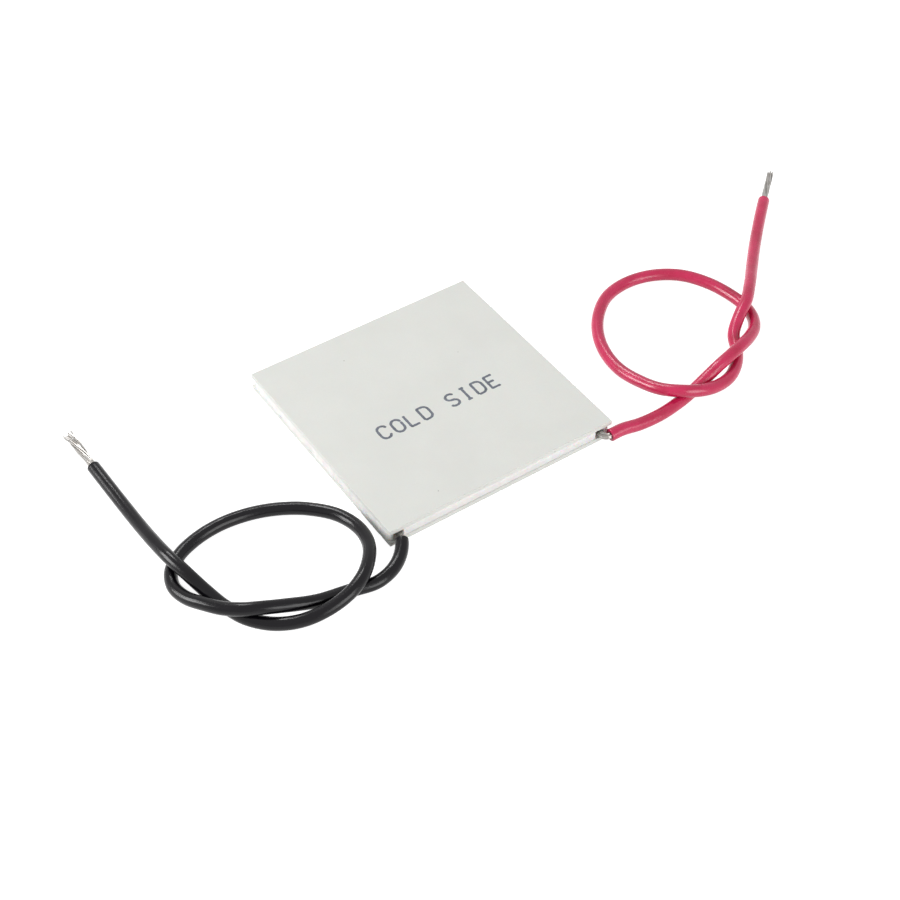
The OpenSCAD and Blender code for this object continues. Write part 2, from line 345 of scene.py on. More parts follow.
def rounded_square(half, radius, spacing):
    """Points round a square with rounded corners, from the middle of the -Y side
    towards -X, with the outward direction at each. Straight stretches are divided
    evenly, and each corner is a quarter circle."""
    flat = half - radius
    side_count = int(2 * flat / spacing)
    corner_count = 7
    points, normals = [], []
    for quarter in range(4):
        turn = -np.pi / 2 * quarter
        cosine, sine = np.cos(turn), np.sin(turn)
        spin = np.array([[cosine, -sine], [sine, cosine]])
        along = np.linspace(flat, -flat, side_count, endpoint=False)
        line = np.stack([along, np.full(side_count, -half)], axis=-1)
        line_out = np.tile([0.0, -1.0], (side_count, 1))
        angle = -np.pi / 2 - np.linspace(0, np.pi / 2, corner_count, endpoint=False)
        corner_out = np.stack([np.cos(angle), np.sin(angle)], axis=-1)
        corner = np.array([-flat, -flat]) + radius * corner_out
        points.append(np.concatenate([line, corner]) @ spin.T)
        normals.append(np.concatenate([line_out, corner_out]) @ spin.T)
    return np.concatenate(points), np.concatenate(normals)


# ---- materials


def add_node(tree, kind, settings=None, inputs=None):
    """Adds a shader node. Inputs are given by name or number, as a value or a socket."""
    node = tree.nodes.new(kind)
    for key, value in (settings or {}).items():
        setattr(node, key, value)
    for key, value in (inputs or {}).items():
        if isinstance(value, bpy.types.NodeSocket):
            tree.links.new(value, node.inputs[key])
        else:
            node.inputs[key].default_value = value
    return node


def stretched(tree, source, scale):
    """Coordinates multiplied by a scale for each axis."""
    return add_node(
        tree, "ShaderNodeMapping", inputs={"Vector": source, "Scale": scale}
    ).outputs["Vector"]


def place(tree, scale=(1, 1, 1)):
    """Object coordinates, multiplied by a scale for each axis."""
    return stretched(tree, add_node(tree, "ShaderNodeTexCoord").outputs["Object"], scale)


def noise(tree, where, size, detail=4.0, roughness=0.55):
    """Cloudy pattern whose spots are about the given size in metres."""
    return add_node(
        tree, "ShaderNodeTexNoise",
        inputs={"Vector": where, "Scale": 1 / size, "Detail": detail, "Roughness": roughness},
    ).outputs["Fac"]


def spread(tree, value, low, high, out_low=0.0, out_high=1.0):
    """Stretches a value from one span to another and clips it there."""
    return add_node(
        tree, "ShaderNodeMapRange",
        inputs={"Value": value, "From Min": low, "From Max": high,
                "To Min": out_low, "To Max": out_high},
    ).outputs["Result"]


def cells(tree, where, size, channel):
    """Cells of about the given size: distance from a cell's middle, and its own value."""
    pattern = add_node(
        tree, "ShaderNodeTexVoronoi", inputs={"Vector": where, "Scale": 1 / size}
    ).outputs
    own = add_node(tree, "ShaderNodeSeparateColor", inputs={"Color": pattern["Color"]})
    return pattern["Distance"], own.outputs[channel]


def calculate(tree, operation, first, second=0.5):
    """Sum, product or other operation on two values."""
    return add_node(
        tree, "ShaderNodeMath", {"operation": operation}, {0: first, 1: second}
    ).outputs["Value"]


def opaque(value):
    """A plain colour with its alpha, or the value itself when it isn't one."""
    return (*value, 1.0) if isinstance(value, (tuple, list)) and len(value) == 3 else value


def blend(tree, amount, first, second):
    """Mixes two colours."""
    return add_node(
        tree, "ShaderNodeMix", {"data_type": "RGBA"},
        {0: amount, 6: opaque(first), 7: opaque(second)},
    ).outputs[2]


def bumps(tree, height, distance, strength=1.0, below=None):
    """Normal of a relief of the given depth, over the relief below it, if any."""
    inputs = {"Height": height, "Distance": distance, "Strength": strength}
    if below is not None:
        inputs["Normal"] = below
    return add_node(tree, "ShaderNodeBump", inputs=inputs).outputs["Normal"]


def new_material(name):
    """A material with an empty main shader. Returns it, its node tree and the shader."""
    material = bpy.data.materials.new(name)
    material.use_nodes = True
    shader = material.node_tree.nodes["Principled BSDF"]
    return material, material.node_tree, shader


def shade(tree, shader, **inputs):
    """Sets the main shader's sockets by name, with _ for a space."""
    for key, value in inputs.items():
        socket = shader.inputs[key.replace("_", " ")]
        if isinstance(value, bpy.types.NodeSocket):
            tree.links.new(value, socket)
        else:
            socket.default_value = opaque(value)


def tinted(base, factor):
    """A colour made lighter or darker."""
    return tuple(min(1.0, part * factor) for part in base)


def ceramic_material(settings):
    """Fired alumina: fine grain, faint clouds, a few dark specks, and scribed sides."""
    material, tree, shader = new_material("fired_ceramic")
    where = place(tree)
    base = tuple(settings.ceramic)
    clouds = noise(tree, where, 9 * MM, detail=3)
    grain = noise(tree, where, 0.25 * MM, detail=5, roughness=0.7)
    body = blend(tree, spread(tree, clouds, 0.35, 0.65), tinted(base, 0.975), tinted(base, 1.015))
    body = blend(tree, spread(tree, grain, 0.3, 0.75, 0.0, 0.5), body, tinted(base, 0.95))
    from_middle, own = cells(tree, where, 3.2 * MM, "Red")
    spot = spread(tree, from_middle, 0.018, 0.04, 1.0, 0.0)
    rare = spread(tree, own, 0.6, 0.95, 0.0, 0.75)
    body = blend(tree, calculate(tree, "MULTIPLY", spot, rare), body, tuple(settings.speck))
    normal = add_node(tree, "ShaderNodeNewGeometry").outputs["Normal"]
    up = add_node(tree, "ShaderNodeSeparateXYZ", inputs={"Vector": normal}).outputs["Z"]
    wall = spread(tree, calculate(tree, "ABSOLUTE", up), 0.5, 0.8, 1.0, 0.0)
    smudge = noise(tree, place(tree, (1, 1, 2.5)), 1.3 * MM, detail=6, roughness=0.75)
    dirty = calculate(tree, "MULTIPLY", wall, spread(tree, smudge, 0.58, 0.75, 0.0, 0.45))
    body = blend(tree, dirty, body, srgb(168, 160, 156))
    scribe = noise(tree, place(tree, (1, 1, 0.12)), 0.12 * MM, detail=2, roughness=0.5)
    rough_wall = bumps(tree, calculate(tree, "MULTIPLY", scribe, wall), 0.03 * MM)
    shade(
        tree, shader, Base_Color=body,
        Roughness=spread(tree, grain, 0.2, 0.8, 0.55, 0.7),
        Normal=bumps(tree, grain, 0.004 * MM, below=rough_wall),
        Specular_IOR_Level=0.3, Subsurface_Weight=0.06, Subsurface_Scale=0.4 * MM,
    )
    return material


def ink_material(settings, ceramic):
    """Thin printed ink with small gaps where the ceramic's grain shows."""
    material, tree, shader = new_material("printed_ink")
    where = place(tree)
    fine = noise(tree, where, 0.16 * MM, detail=4, roughness=0.7)
    wide = noise(tree, where, 1.4 * MM, detail=2)
    ink = tuple(settings.ink)
    body = blend(tree, spread(tree, wide, 0.35, 0.65), tinted(ink, 0.85), tinted(ink, 1.25))
    body = blend(tree, spread(tree, fine, 0.56, 0.72, 0.0, 0.55), body, tuple(ceramic))
    shade(
        tree, shader, Base_Color=body, Roughness=spread(tree, fine, 0.3, 0.7, 0.5, 0.7),
        Normal=bumps(tree, fine, 0.004 * MM),
    )
    return material


def silicone_material(settings):
    """Cured white silicone, slightly cloudy, with a soft skin and trapped dust."""
    material, tree, shader = new_material("white_silicone")
    where = place(tree)
    base = tuple(settings.silicone)
    clouds = noise(tree, where, 2.2 * MM, detail=4)
    fine = noise(tree, where, 0.4 * MM, detail=5, roughness=0.65)
    body = blend(tree, spread(tree, clouds, 0.3, 0.7), tinted(base, 0.93), tinted(base, 1.04))
    dust = noise(tree, where, 0.7 * MM, detail=6, roughness=0.8)
    body = blend(tree, spread(tree, dust, 0.62, 0.76, 0.0, 0.5), body, srgb(150, 140, 138))
    shade(
        tree, shader, Base_Color=body, Roughness=spread(tree, fine, 0.3, 0.7, 0.38, 0.62),
        Normal=bumps(tree, fine, 0.02 * MM), Subsurface_Weight=0.25,
        Subsurface_Scale=0.5 * MM, Specular_IOR_Level=0.4,
    )
    return material


def insulation_material(name, base, light, dark, scuff, gloss, shine):
    """Extruded vinyl: lengthwise drag lines, patches of fine crosswise wrinkles, cloudy
    gloss, dust and scuffs."""
    material, tree, shader = new_material(name)
    where = place(tree)
    uv = add_node(tree, "ShaderNodeUVMap", {"uv_map": "along_and_round"}).outputs["UV"]
    drag = noise(tree, stretched(tree, uv, (30, 26, 1)), 1.0, detail=3, roughness=0.5)
    clouds = noise(tree, where, 3.5 * MM, detail=4)
    fine = noise(tree, where, 0.35 * MM, detail=5, roughness=0.7)
    body = blend(tree, spread(tree, clouds, 0.32, 0.68), dark, light)
    body = blend(tree, spread(tree, drag, 0.35, 0.75, 0.0, 0.35), body, base)
    rubs = noise(tree, where, 1.1 * MM, detail=7, roughness=0.8)
    rubbed = spread(tree, rubs, 0.66, 0.78, 0.0, 0.4)
    body = blend(tree, rubbed, body, scuff)
    rough = spread(tree, fine, 0.25, 0.75, gloss, gloss + 0.14)
    rough = calculate(tree, "ADD", rough, calculate(tree, "MULTIPLY", rubbed, 0.3))
    wrinkles = noise(tree, stretched(tree, uv, (520, 5, 1)), 1.0, detail=2, roughness=0.5)
    patches = spread(tree, noise(tree, where, 9 * MM, detail=2), 0.48, 0.62)
    skin = bumps(tree, drag, 0.05 * MM, 0.7)
    skin = bumps(tree, calculate(tree, "MULTIPLY", wrinkles, patches), 0.03 * MM, 0.35, below=skin)
    shade(
        tree, shader, Base_Color=body, Roughness=rough,
        Normal=bumps(tree, fine, 0.01 * MM, below=skin), Specular_IOR_Level=shine,
    )
    return material


def metal_material(name, base, stain, roughness, grain=0.3 * MM, lump=0.01 * MM):
    """Worn metal: cloudy stain, fine scratches and uneven gloss."""
    material, tree, shader = new_material(name)
    where = place(tree)
    clouds = noise(tree, where, 1.2 * MM, detail=5, roughness=0.65)
    fine = noise(tree, where, grain, detail=5, roughness=0.7)
    body = blend(tree, spread(tree, clouds, 0.42, 0.72, 0.0, 0.75), base, stain)
    shade(
        tree, shader, Base_Color=body, Metallic=1.0,
        Roughness=spread(tree, fine, 0.25, 0.75, roughness, roughness + 0.2),
        Normal=bumps(tree, fine, lump),
    )
    return material


def semiconductor_material(name, base, sheen):
    """Cut semiconductor: dull metallic crystals of different shades."""
    material, tree, shader = new_material(name)
    _, shade_of = cells(tree, place(tree, (1, 1, 0.45)), 0.28 * MM, "Green")
    saw = noise(tree, place(tree, (1, 1, 14)), 0.5 * MM, detail=3)
    body = blend(tree, shade_of, tinted(base, 0.75), sheen)
    shade(
        tree, shader, Base_Color=body, Metallic=0.85,
        Roughness=spread(tree, shade_of, 0.0, 1.0, 0.34, 0.55),
        Normal=bumps(tree, saw, 0.01 * MM),
    )
    return material


def dress(node, material):
    """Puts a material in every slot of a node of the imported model."""
    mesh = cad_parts[node].data
    if not mesh.materials:
        mesh.materials.append(material)
    for index in range(len(mesh.materials)):
        mesh.materials[index] = material


# ---- plates


def plate_rings(node, settings, seed):
    """Rings from the middle of a plate's upper face over its edge to the middle of its
    lower face. A ring is the plate's outline, moved in where it lies on a face or where
    the edge is chipped: a chip is what an irregular wave has above a threshold, and it
    fades away from the edge that it sits on."""
    low, high = corners(node)
    half = (high[0] - low[0]) / 2
    middle = (low + high) / 2
    edge = settings.edge_break
    spacing, grit_depth = 0.16 * MM, 0.012 * MM
    top_fade, bottom_fade = 0.12, 0.18
    outline, outward = rounded_square(half, 2.5 * edge, spacing)
    along = distances(np.column_stack([outline, np.zeros(len(outline))]))

    def chips(threshold, offset):
        """Depth of the chips along an edge."""
        wave = ripple(along, [1.1 * MM, 1.9 * MM, 3.1 * MM, 0.6 * MM], seed + offset)
        return settings.chip_depth * np.clip((wave - threshold) / (1 - threshold), 0, 1)

    top_chips, bottom_chips = chips(0.45, 0), chips(0.25, 1)
    grit = grit_depth * ripple(along, [0.45 * MM, 0.8 * MM], seed + 2)
    face_scales = (0.02, 0.5, 0.9, 0.98)
    rings = [(outline * scale, high[2]) for scale in face_scales]
    rows = np.array([0.0, 0.0, 0.08, 0.2, 0.4, 0.6, 0.8, 0.92, 1.0, 1.0])
    heights = high[2] - rows * (high[2] - low[2])
    heights[1], heights[-2] = high[2] - edge, low[2] + edge
    for index, (row, z) in enumerate(zip(rows, heights)):
        inset = edge if index in (0, len(rows) - 1) else 0.0
        depth = (
            inset + top_chips * np.exp(-row / top_fade)
            + bottom_chips * np.exp(-(1 - row) / bottom_fade)
            + (grit + grit_depth) * np.sin(np.pi * row)
        )
        rings.append((outline - outward * depth[:, None], z))
    rings += [(outline * scale, low[2]) for scale in face_scales[::-1]]
    flat = np.stack([
        np.column_stack([points + middle[:2], np.full(len(points), z)]) for points, z in rings
    ])
    return flat[None]


class COOLER_OT_plates(bpy.types.Operator):
    """Make the two ceramic plates with broken, slightly chipped edges"""

    bl_idname = "cooler.plates"
    bl_label = "Ceramic Plates"

    def execute(self, context):
        settings = context.scene.cooler_plates
        material = ceramic_material(settings)
        for number, node in enumerate(("hot_side_plate", "cold_side_plate")):
            rings = plate_rings(node, settings, SEED + 10 * number)
            piece = solid_from_rings(node + "_ceramic", rings, sharp=math.radians(30))
            finish_piece(piece, material, "ceramic", node)
        return {"FINISHED"}


# ---- mark


def arc(centre, reach, start, end, count):
    """Points on an ellipse from one angle to another, in degrees."""
    angle = np.radians(np.linspace(start, end, count))
    return np.stack(
        [centre[0] + reach[0] * np.cos(angle), centre[1] + reach[1] * np.sin(angle)], axis=-1
    )


def letter_strokes():
    """Pen strokes of the letters, in a box one wide and one high."""
    def line(*points):
        """A straight or bent stroke."""
        return np.array(points, dtype=float)

    corner, bow = 0.3, 0.45
    return {
        "C": [np.concatenate([
            arc((1 - bow, 1 - corner), (bow, corner), 10, 90, 6),
            arc((bow, 1 - corner), (bow, corner), 90, 180, 6),
            arc((bow, corner), (bow, corner), 180, 270, 6),
            arc((1 - bow, corner), (bow, corner), 270, 350, 6),
        ])],
        "O": [np.concatenate([
            arc((0.5, 1 - corner), (0.5, corner), 0, 180, 12),
            arc((0.5, corner), (0.5, corner), 180, 360, 12), line((1, 1 - corner)),
        ])],
        "L": [line((0, 1), (0, 0), (0.95, 0))],
        "D": [np.concatenate([
            line((0, 0), (0, 1)), arc((bow, 1 - corner), (0.55, corner), 90, 0, 7),
            arc((bow, corner), (0.55, corner), 0, -90, 7), line((0, 0)),
        ])],
        "S": [np.concatenate([
            arc((0.5, 0.75), (0.48, 0.25), 20, 255, 12),
            arc((0.5, 0.25), (0.5, 0.25), 75, -160, 12),
        ])],
        "I": [line((0.5, 0), (0.5, 1)), line((0.22, 1), (0.78, 1)), line((0.22, 0), (0.78, 0))],
        "E": [line((0.95, 1), (0, 1), (0, 0), (0.95, 0)), line((0, 0.52), (0.75, 0.52))],
    }


def ribbon_rings(stroke, half_width, low, high, seed):
    """Rings of a flat printed line: the stroke moved to its left and right by half its
    width, which wavers a little, at the film's lower and upper height. The ends are
    drawn in to round them."""
    path = np.column_stack([stroke, np.zeros(len(stroke))])
    total = distances(path)[-1]
    spacing, smoothing, waver = 0.09 * MM, 0.1 * MM, 0.12
    samples = max(8, int(total / spacing))
    wanted = np.linspace(0, total, samples)
    centre = at_distance(path, wanted)
    span = int(max(1, smoothing / (total / samples)))
    kernel = np.ones(2 * span + 1) / (2 * span + 1)
    padded = np.concatenate(
        [np.repeat(centre[:1], span, 0), centre, np.repeat(centre[-1:], span, 0)]
    )
    centre = np.stack([np.convolve(padded[:, axis], kernel, "valid") for axis in range(3)], -1)
    side = unit_rows(np.cross(np.gradient(centre, axis=0), UP))
    near_end = np.minimum(wanted, total - wanted) / half_width
    taper = np.sqrt(np.clip(1 - (1 - np.clip(near_end, 0, 1)) ** 2, 0.12, 1))
    reach = half_width * taper * (1 + waver * ripple(wanted, [0.5 * MM, 1.3 * MM], seed))
    return np.stack([
        centre + direction * reach[:, None] * side + height * UP
        for direction, height in ((-1, low), (1, low), (1, high), (-1, high))
    ], axis=1)


class COOLER_OT_mark(bpy.types.Operator):
    """Print the side mark on the cold side plate"""

    bl_idname = "cooler.mark"
    bl_label = "Printed Mark"

    def execute(self, context):
        settings = context.scene.cooler_mark
        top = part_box("cold_side_plate")[1][2]
        strokes = letter_strokes()
        material = ink_material(settings, context.scene.cooler_plates.ceramic)
        parts = []
        for index, letter in enumerate(settings.text):
            for number, stroke in enumerate(strokes.get(letter, [])):
                corner = np.array([settings.left + index * settings.advance, settings.base])
                placed = corner + stroke * np.array([settings.width, settings.height])
                rings = ribbon_rings(
                    placed, settings.stroke / 2, top - settings.film,
                    top + settings.film * (1 + 0.1 * number), SEED + 7 * index + number,
                )
                parts.append(solid_from_rings(f"mark_part_{index}_{number}", rings[None]))
        finish_piece(join_pieces("side_mark", parts), material, "ceramic")
        return {"FINISHED"}


# ---- seal


def bead_rings(path, outward, bed, low, high, settings, seed):
    """Rings of a silicone bead. The path is the middle of the bead in plan, and bed is
    half its width. The outer face swells out in a flat arch over the height, fuller on
    the -X side, wavers along the path, slumps onto the lower plate and draws in under
    the upper one as a groove. The last stretch at each end is rounded off."""
    groove_start, foot_height, end_length, end_width = 0.72, 0.2, 0.2 * MM, 0.03
    along = distances(np.column_stack([path, np.zeros(len(path))]))
    rows = np.array([0.0, 0.06, 0.15, 0.3, 0.45, 0.6, 0.72, 0.82, 0.9, 0.96, 1.0])
    wave = ripple(along, [2.3 * MM, 4.1 * MM, 7.9 * MM], seed)[:, None]
    small = ripple(along, [0.7 * MM, 1.1 * MM, 1.7 * MM], seed + 1)[:, None]
    left = np.clip(-outward[:, :1], 0, 1)
    swell = settings.fullness * (0.85 + 0.3 * wave + 0.35 * left)
    groove = settings.groove * (1 - left) * (1 + 0.3 * small)
    outer = (
        bed + swell * (1 - np.abs(2 * rows - 1) ** (4 + 12 * left))
        + 0.03 * MM * small * np.sin(np.pi * rows)
        - groove * np.clip((rows - groove_start) / 0.28, 0, 1) ** 1.5
        + 0.5 * swell * np.clip((foot_height - rows) / foot_height, 0, 1)
    )
    inner = np.broadcast_to(-bed, (len(path), 4))
    reach = np.concatenate([outer, inner], axis=1)
    height = np.concatenate([rows, [1.0, 0.7, 0.3, 0.0]])
    from_end = np.minimum(along, along[-1] - along)[:, None]
    near = np.clip(from_end / end_length, 0, 1)
    rounding = np.sqrt(1 - (1 - near) ** 2) * 0.97 + end_width
    reach = reach * rounding
    level = 0.5 + (height - 0.5) * (0.35 + 0.65 * rounding)
    plan = path[:, None] + outward[:, None] * reach[..., None]
    z = low + level * (high - low)
    return np.concatenate([plan, z[..., None]], axis=-1)[None]


class COOLER_OT_seal(bpy.types.Operator):
    """Make the silicone seal between the plates as two wavy beads"""

    bl_idname = "cooler.seal"
    bl_label = "Silicone Seal"

    def execute(self, context):
        settings = context.scene.cooler_seal
        material = silicone_material(settings)
        low, high = corners("seal_sides_and_back")
        front_low, front_high = corners("seal_front")
        bed = (front_high[1] - front_low[1]) / 2
        black_x, red_x = lead_axis("black")[0][0], lead_axis("red")[0][0]
        slot = front_low[0] - black_x - settings.slot_fill

        spacing, corner = 0.15 * MM, 0.5 * MM
        steps = int((front_high[0] - front_low[0]) / spacing)
        x = np.linspace(black_x + slot, red_x - slot, steps)
        front = np.column_stack([x, np.full(steps, (front_low[1] + front_high[1]) / 2)])
        down = np.tile([0.0, -1.0], (steps, 1))
        rings = bead_rings(front, down, bed, low[2], high[2], settings, SEED + 40)
        bead = solid_from_rings("front_bead", rings)
        finish_piece(bead, material, "silicone_seal", "seal_front")

        ring, outward = rounded_square(high[0] - bed, corner, spacing)
        is_front = ring[:, 1] < -(high[0] - 1.02 * bed)
        open_part = is_front & (ring[:, 0] > black_x - slot) & (ring[:, 0] < red_x + slot)
        first = int(np.flatnonzero(open_part & ~np.roll(open_part, -1))[0]) + 1
        order = (first + np.arange(len(ring))) % len(ring)
        order = order[~open_part[order]]
        rings = bead_rings(ring[order], outward[order], bed, low[2], high[2], settings, SEED + 50)
        bead = solid_from_rings("side_and_back_bead", rings)
        finish_piece(bead, material, "silicone_seal", "seal_sides_and_back")
        return {"FINISHED"}


# ---- couples


class COOLER_OT_couples(bpy.types.Operator):
    """Give the copper tabs and the semiconductor pellets their finish"""

    bl_idname = "cooler.couples"
    bl_label = "Tabs and Pellets"

    def execute(self, context):
        copper = metal_material("copper_tab", srgb(206, 140, 100), srgb(150, 88, 62), 0.3)
        p_kind = semiconductor_material("p_pellet", srgb(118, 120, 128), srgb(158, 160, 168))
        n_kind = semiconductor_material("n_pellet", srgb(142, 143, 148), srgb(184, 184, 188))
        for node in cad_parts:
            if node.startswith("p_pellets"):
                dress(node, p_kind)
            elif node.startswith("n_pellets"):
                dress(node, n_kind)
            elif node.endswith(("_tabs", "_tab")):
                dress(node, copper)
        return {"FINISHED"}


# ---- leads


def lead_axis(name):
    """Middle of the inner end of a lead's conductor, its radius, and where it ends in Y."""
    low, high = corners(f"{name}_lead_conductor")
    radius = (high[2] - low[2]) / 2
    return np.array([low[0] + radius, high[1], low[2] + radius]), radius, low[1]


def black_conductor_path():
    """Straight out of the module along -Y."""
    start, _, end_y = lead_axis("black")
    return np.linspace(start, [start[0], end_y, start[2]], 30)


def red_conductor_path(bend):
    """Along -Y out of the module, and then a quarter circle round towards +X."""
    start, radius, end_y = lead_axis("red")
    corner = np.array([start[0] + bend, end_y + radius + bend, start[2]])
    straight = np.linspace(start, [start[0], corner[1], start[2]], 24, endpoint=False)
    angle = np.linspace(np.pi, 1.5 * np.pi, 16)[:, None]
    turn = corner + bend * np.hstack([np.cos(angle), np.sin(angle), np.zeros_like(angle)])
    return np.vstack([straight, turn])


def lead_path(start, straight, route, diameter):
    """Centre line of a lead: a straight stretch out of the module, then the route."""
    route = np.array(route, dtype=float)
    height = diameter / 2 + route[:, 2] * (diameter + CROSSING_GAP)
    laid = np.column_stack([start[:2] + route[:, :2] * MM, height])
    first = start + np.array([*straight, 0]) * MM
    curve = smooth_path(np.vstack([start, first, laid]), 16)
    curve[:, 2] = np.maximum(curve[:, 2], diameter / 2)
    even = np.arange(0, distances(curve)[-1], LEAD_STEP)
    return np.vstack([at_distance(curve, even), curve[-1:]])


def insulation_rings(path, diameter, bore, sides, seed):
    """Rings of the insulation: from the bottom of the bore at one end, over a rounded
    cut lip, along the path with a radius that wavers by half a percent, and back into
    the bore at the other end."""
    radius = diameter / 2
    total = distances(path)[-1]
    lip_in = np.array([0.5, 0.04, 0.0, 0.0, 0.02, 0.07, 0.14]) * MM
    lip_radius = np.array([bore, bore, bore + 0.04 * MM, radius - 0.09 * MM, radius - 0.03 * MM,
                           radius - 0.008 * MM, radius])
    inside = np.arange(0.5 * MM, total - 0.45 * MM, LEAD_STEP)
    along = np.concatenate([lip_in, inside, total - lip_in[::-1]])
    swell = 1 + 0.005 * ripple(inside, [3 * MM, 7 * MM, 17 * MM], seed)
    radii = np.concatenate([lip_radius, radius * swell, lip_radius[::-1]])
    centre = at_distance(path, along)
    step = 0.1 * MM
    heading = unit_rows(at_distance(path, along + step) - at_distance(path, along - step))
    return circles(centre, *square_to(heading), radii, sides)[None]


def strand_places(pitch):
    """Distance and angle of nineteen strands from the middle: one, six and twelve."""
    places = [(0.0, 0.0)]
    places += [(pitch, k * np.pi / 3) for k in range(6)]
    places += [(2 * pitch, k * np.pi / 3) for k in range(6)]
    places += [(math.sqrt(3) * pitch, (k + 0.5) * np.pi / 3) for k in range(6)]
    return places


def bundle_rings(path, settings, flare=0.0, wave=0.0, seed=0, sides=8):
    """Rings of nineteen strands that turn round the path as helices. Flare is how much
    wider the bundle is at the free end, and wave is how far each strand strays there;
    both grow with the distance. Strands never sink below the surface."""
    random = np.random.default_rng(seed)
    along = distances(path)
    share = along / along[-1]
    side, up = square_to(unit_rows(np.gradient(path, axis=0)))
    turn = 2 * np.pi * along / settings.lay
    loose = 1 if flare else 0
    radius = settings.strand / 2
    strands = []
    for distance, angle in strand_places(settings.strand_pitch):
        own_flare = flare * random.uniform(0.4, 1.5)
        around = angle + turn + random.normal(0, 0.25) * share**2 * loose
        reach = distance * (1 + own_flare * share**1.2)
        stray = random.uniform(-1, 1, 2)[:, None] * wave * share**2
        curl = wave * 0.6 * share * np.sin(
            2 * np.pi * along / (random.uniform(3.5, 6.0) * MM) + random.uniform(0, 6.3)
        )
        centre = (
            path + (reach * np.cos(around) + stray[0] + curl)[:, None] * side
            + (reach * np.sin(around) + stray[1])[:, None] * up
        )
        cut = 1 - 0.03 * random.random() * loose
        centre = at_distance(centre, distances(centre) * cut)
        centre[:, 2] = np.maximum(centre[:, 2], radius)
        across = square_to(unit_rows(np.gradient(centre, axis=0)))
        radii = np.full(len(centre), radius)
        strands.append(circles(centre, *across, radii, sides, random.uniform(0, 1)))
    return np.stack(strands)


def solder_rings(node, centre, seed):
    """Rings of a solder fillet along a conductor. A section is a circle round the
    conductor whose lower half widens to a flat foot on the tab, and it shrinks towards
    the ends as the side of a rounded bar."""
    low, high = corners(node)
    count, sides, inside = 26, 24, 0.98
    share = np.linspace(0, 1, count)
    y = high[1] + share * (low[1] - high[1])
    size = (1 - np.abs(2 * share - 1) ** 7) ** 0.5 * 0.97 + 0.03
    size = size * (1 - 0.03 * (1 + ripple(y, [0.8 * MM, 1.7 * MM], seed)))
    angle = 2 * np.pi * np.arange(sides) / sides
    across, level = np.sin(angle), np.cos(angle)
    foot_middle = (low[0] + high[0]) / 2
    down = np.clip(-level, 0, 1) ** 0.7
    half_top = (high[2] - centre[2]) * inside
    half_foot = (high[0] - low[0]) / 2 * inside
    x = (centre[0] * (1 - down) + foot_middle * down)[None] + across * (
        half_top * (1 - down) + half_foot * down
    ) * size[:, None]
    z = centre[2] + np.maximum(level * half_top * size[:, None], low[2] - centre[2])
    return np.stack([x, np.broadcast_to(y[:, None], x.shape), z], axis=-1)[None]


class COOLER_OT_solder(bpy.types.Operator):
    """Make the solder fillets that hold the leads on their tabs"""

    bl_idname = "cooler.solder"
    bl_label = "Solder Joints"

    def execute(self, context):
        material = metal_material(
            "solder", srgb(200, 202, 204), srgb(150, 152, 154), 0.22, grain=0.5 * MM
        )
        for number, name in enumerate(("black", "red")):
            node = f"{name}_lead_solder"
            rings = solder_rings(node, lead_axis(name)[0], SEED + 60 + number)
            piece = solid_from_rings(f"{name}_solder_fillet", rings)
            finish_piece(piece, material, "solder", node)
        return {"FINISHED"}


class COOLER_OT_leads(bpy.types.Operator):
    """Make the insulation, the conductors and the bare ends of both leads"""

    bl_idname = "cooler.leads"
    bl_label = "Leads"

    def execute(self, context):
        settings = context.scene.cooler_leads
        tin = metal_material("tinned_strand", tuple(settings.tin), srgb(146, 138, 130), 0.22)
        black = insulation_material(
            "black_vinyl", tuple(settings.black), srgb(13, 11, 16), srgb(7, 5, 9),
            srgb(58, 56, 59), 0.13, 0.26,
        )
        red = insulation_material(
            "red_vinyl", tuple(settings.red), srgb(208, 40, 92), srgb(180, 20, 66),
            srgb(226, 112, 148), 0.17, 0.5,
        )
        bend = settings.diameter / 2
        bore = settings.strand_pitch * 2 + settings.strand / 2 + 0.03 * MM
        step, overlap, tip_sag = 0.15 * MM, 0.6 * MM, 0.22 * MM
        # Of each lead: its conductor, first straight stretch in millimetres, route and
        # vinyl, and how much the strands of its tip flare and stray.
        routes = (
            ("black", black_conductor_path(), [-0.1, -0.3], BLACK_ROUTE, black, 0.8, 0.16 * MM),
            ("red", red_conductor_path(bend), [2, 0], RED_ROUTE, red, 0.12, 0.03 * MM),
        )
        for number, (name, conductor, straight, route, vinyl, flare, wave) in enumerate(routes):
            whole = lead_path(conductor[-1], straight, route, settings.diameter)
            cut = settings.black_cut if name == "black" else 0.0
            path = at_distance(whole, np.arange(cut, distances(whole)[-1], LEAD_STEP))
            seed = SEED + 70 + 10 * number
            rings = insulation_rings(path, settings.diameter, bore, settings.sides, seed)
            sleeve = finish_piece(
                solid_from_rings(f"{name}_insulation", rings), vinyl, f"{name}_insulation",
                f"{name}_lead",
            )

            into = at_distance(whole, np.arange(step, cut + overlap, step))
            rings = bundle_rings(np.vstack([conductor, into]), settings, seed=seed + 1)
            inner = finish_piece(
                solid_from_rings(f"{name}_conductor_strands", rings), tin, "tinned_copper",
                f"{name}_lead_conductor",
            )

            total = distances(path)[-1]
            reach = np.linspace(-0.7 * MM, settings.bare_end, 40)
            tip = at_distance(path, total + reach)
            tip[:, 2] -= tip_sag * np.clip(reach / settings.bare_end, 0, 1) ** 2
            rings = bundle_rings(tip, settings, flare, wave, seed + 2)
            bare = finish_piece(
                solid_from_rings(f"{name}_bare_strands", rings), tin, "tinned_copper",
                f"{name}_lead_bare_end",
            )
        return {"FINISHED"}


# ---- stage


